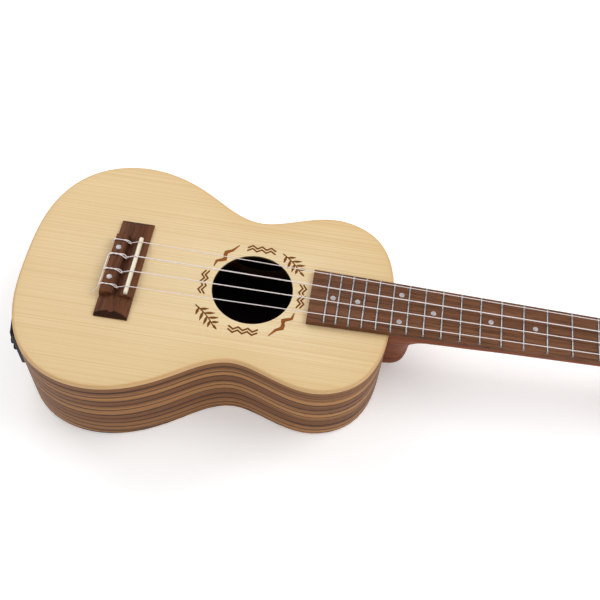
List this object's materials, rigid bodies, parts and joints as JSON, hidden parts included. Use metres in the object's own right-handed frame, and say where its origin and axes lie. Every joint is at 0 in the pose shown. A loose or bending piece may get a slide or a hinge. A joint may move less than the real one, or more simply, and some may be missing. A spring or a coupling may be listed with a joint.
{
  "type": "ukulele",
  "caption": "Concert ukulele with a spruce top, round soundhole, tied bridge, fretted neck, geared tuning machines and a pickup panel with controls and jack on its tail.",
  "frame": {"origin": "point on the flat outer face of the back, on the centre line, 136 mm from the tail", "axes": "+X along the strings towards the headstock, +Y to the bass side, +Z out of the back towards the soundboard"},
  "size_m": [0.6063, 0.1956, 0.0861],
  "materials": {
    "spruce": "satin, open-grained pale top wood",
    "zebrano": "satin, dark lengthwise stripes",
    "rosewood": "matt dark brown",
    "mahogany": "satin reddish brown",
    "cedar": "unfinished",
    "bone": "polished ivory colour",
    "nickel": "polished",
    "nylon": "translucent pinkish white",
    "black_plastic": "fine moulded texture",
    "knob_rubber": "soft-touch",
    "piezo": "dull metal foil"
  },
  "bodies": {
    "instrument": {"back_brace_lower": "spruce", "back_brace_upper": "spruce", "back_plate": "zebrano", "bridge": "rosewood", "bridge_plate": "spruce", "fret_01": "nickel", "fret_02": "nickel", "fret_03": "nickel", "fret_04": "nickel", "fret_05": "nickel", "fret_06": "nickel", "fret_07": "nickel", "fret_08": "nickel", "fret_09": "nickel", "fret_10": "nickel", "fret_11": "nickel", "fret_12": "nickel", "fret_13": "nickel", "fret_14": "nickel", "fret_15": "nickel", "fret_16": "nickel", "fret_17": "nickel", "fretboard": "rosewood", "headstock": "mahogany", "lining_back_bass": "cedar", "lining_back_treble": "cedar", "lining_top_bass": "cedar", "lining_top_treble": "cedar", "neck": "mahogany", "neck_block": "cedar", "nut": "bone", "output_jack": "nickel", "pickup_strip": "piezo", "preamp_box": "black_plastic", "preamp_panel": "black_plastic", "saddle": "bone", "side_bass": "zebrano", "side_treble": "zebrano", "soundboard": "spruce", "string_a": "nylon", "string_c": "nylon", "string_e": "nylon", "string_g": "nylon", "tail_block": "cedar", "top_brace_lower": "spruce", "top_brace_upper": "spruce", "tuner_plate_a": "nickel", "tuner_plate_c": "nickel", "tuner_plate_e": "nickel", "tuner_plate_g": "nickel"},
    "worm_g": {"tuner_worm_g": "nickel"},
    "post_g": {"tuner_post_g": "nickel"},
    "worm_c": {"tuner_worm_c": "nickel"},
    "post_c": {"tuner_post_c": "nickel"},
    "worm_e": {"tuner_worm_e": "nickel"},
    "post_e": {"tuner_post_e": "nickel"},
    "worm_a": {"tuner_worm_a": "nickel"},
    "post_a": {"tuner_post_a": "nickel"},
    "volume_control": {"knob_volume": "knob_rubber"},
    "tone_control": {"knob_tone": "knob_rubber"}
  },
  "joints": [
    {"name": "worm_g_turn", "type": "hinge", "parent": "instrument", "child": "worm_g", "pos_m": [0.37475, 0.0165, 0.03208], "axis": [0, 1, 0], "continuous": true},
    {"name": "post_g_turn", "type": "hinge", "parent": "instrument", "child": "post_g", "pos_m": [0.37234, 0.0165, 0.04963], "axis": [0.2488, 0, 0.9686], "continuous": true},
    {"name": "worm_c_turn", "type": "hinge", "parent": "instrument", "child": "worm_c", "pos_m": [0.43092, 0.0165, 0.01766], "axis": [0, 1, 0], "continuous": true},
    {"name": "post_c_turn", "type": "hinge", "parent": "instrument", "child": "post_c", "pos_m": [0.42851, 0.0165, 0.03521], "axis": [0.2488, 0, 0.9686], "continuous": true},
    {"name": "worm_e_turn", "type": "hinge", "parent": "instrument", "child": "worm_e", "pos_m": [0.43092, -0.0165, 0.01766], "axis": [0, 1, 0], "continuous": true},
    {"name": "post_e_turn", "type": "hinge", "parent": "instrument", "child": "post_e", "pos_m": [0.42851, -0.0165, 0.03521], "axis": [0.2488, 0, 0.9686], "continuous": true},
    {"name": "worm_a_turn", "type": "hinge", "parent": "instrument", "child": "worm_a", "pos_m": [0.37475, -0.0165, 0.03208], "axis": [0, 1, 0], "continuous": true},
    {"name": "post_a_turn", "type": "hinge", "parent": "instrument", "child": "post_a", "pos_m": [0.37234, -0.0165, 0.04963], "axis": [0.2488, 0, 0.9686], "continuous": true},
    {"name": "volume_turn", "type": "hinge", "parent": "instrument", "child": "volume_control", "pos_m": [-0.13131, -0.05334, 0.04608], "axis": [-0.9772, -0.2085, 0.041], "range_deg": [-140, 140]},
    {"name": "tone_turn", "type": "hinge", "parent": "instrument", "child": "tone_control", "pos_m": [-0.13169, -0.05334, 0.03709], "axis": [-0.9772, -0.2085, 0.041], "range_deg": [-140, 140]}
  ],
  "couplings": [
    {"joint": "post_g_turn", "follows": "worm_g_turn", "ratio": 0.071429},
    {"joint": "post_c_turn", "follows": "worm_c_turn", "ratio": 0.071429},
    {"joint": "post_e_turn", "follows": "worm_e_turn", "ratio": 0.071429},
    {"joint": "post_a_turn", "follows": "worm_a_turn", "ratio": 0.071429}
  ]
}
